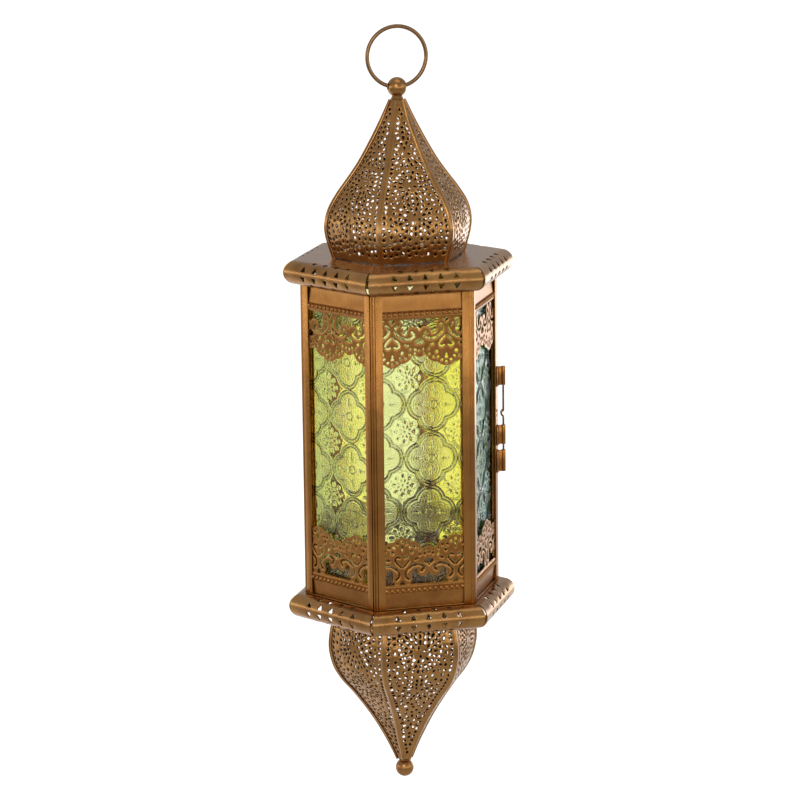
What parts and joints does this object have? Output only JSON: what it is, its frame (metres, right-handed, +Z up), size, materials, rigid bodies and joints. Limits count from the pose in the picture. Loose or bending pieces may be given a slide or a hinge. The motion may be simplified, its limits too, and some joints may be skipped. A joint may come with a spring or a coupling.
{
  "type": "pendant lantern",
  "caption": "Hexagonal hanging lantern of pierced sheet metal with embossed glass panes, an onion dome, a lower cone, a hanging ring and a latched door that gives on to a candle cup.",
  "frame": {"origin": "the point inside the top of the ring where a hook bears, at the middle of the wire's width", "axes": "+Z up along the lantern's axis, -Y out through the front pane, +X towards the latch corner"},
  "size_m": [0.1746, 0.1524, 0.5708],
  "materials": {
    "gold": "antique gold, satin",
    "light_gold": "antique gold, satin, rubbed lighter",
    "wire": "antique gold, satin",
    "door_glass": "clear, tinted, embossed",
    "glass_rear": "clear, tinted, embossed",
    "glass_rear_left": "clear, tinted, embossed",
    "glass_left": "clear, tinted, embossed",
    "glass_front": "clear, tinted, embossed",
    "glass_right": "clear, tinted, embossed"
  },
  "bodies": {
    "ring": {"hanging_ring": "wire"},
    "lantern": {"base_tray": "gold", "bottom_ball": "gold", "candle_cup": "light_gold", "cone_panel_front": "gold", "cone_panel_left": "gold", "cone_panel_rear": "gold", "cone_panel_rear_left": "gold", "cone_panel_rear_right": "gold", "cone_panel_right": "gold", "corner_post_front_left": "gold", "corner_post_front_right": "gold", "corner_post_left": "gold", "corner_post_rear_left": "gold", "corner_post_rear_right": "gold", "corner_post_right": "gold", "dome_panel_front": "gold", "dome_panel_left": "gold", "dome_panel_rear": "gold", "dome_panel_rear_left": "gold", "dome_panel_rear_right": "gold", "dome_panel_right": "gold", "glass_front": "glass_front", "glass_left": "glass_left", "glass_rear": "glass_rear", "glass_rear_left": "glass_rear_left", "glass_right": "glass_right", "hinge_frame_leaf_1": "gold", "hinge_frame_leaf_2": "gold", "hinge_pin_1": "wire", "hinge_pin_2": "wire", "lace_lower_front": "light_gold", "lace_lower_left": "light_gold", "lace_lower_rear": "light_gold", "lace_lower_rear_left": "light_gold", "lace_lower_right": "light_gold", "lace_upper_front": "light_gold", "lace_upper_left": "light_gold", "lace_upper_rear": "light_gold", "lace_upper_rear_left": "light_gold", "lace_upper_right": "light_gold", "latch_keeper": "gold", "roof_tray": "gold", "side_frame_front": "gold", "side_frame_left": "gold", "side_frame_rear": "gold", "side_frame_rear_left": "gold", "side_frame_right": "gold", "top_ball": "gold"},
    "door": {"door_frame": "gold", "door_glass": "door_glass", "door_lace_lower": "light_gold", "door_lace_upper": "light_gold", "hinge_door_leaf_1": "gold", "hinge_door_leaf_2": "gold", "latch_guide_lower": "gold", "latch_guide_upper": "gold"},
    "bolt": {"latch_bolt": "wire"}
  },
  "joints": [
    {"name": "ring_swing", "type": "hinge", "parent": "ring", "child": "lantern", "pos_m": [0, 0, -0.0421], "axis": [1, 0, 0], "range_deg": [-135, 135]},
    {"name": "door_hinge", "type": "hinge", "parent": "lantern", "child": "door", "pos_m": [0.03895, 0.06746, -0.2984], "axis": [0, 0, 1], "range_deg": [0, 120]},
    {"name": "bolt_slide", "type": "slide", "parent": "door", "child": "bolt", "axis": [0, 0, 1], "range_m": [-0.004, 0.012]}
  ]
}
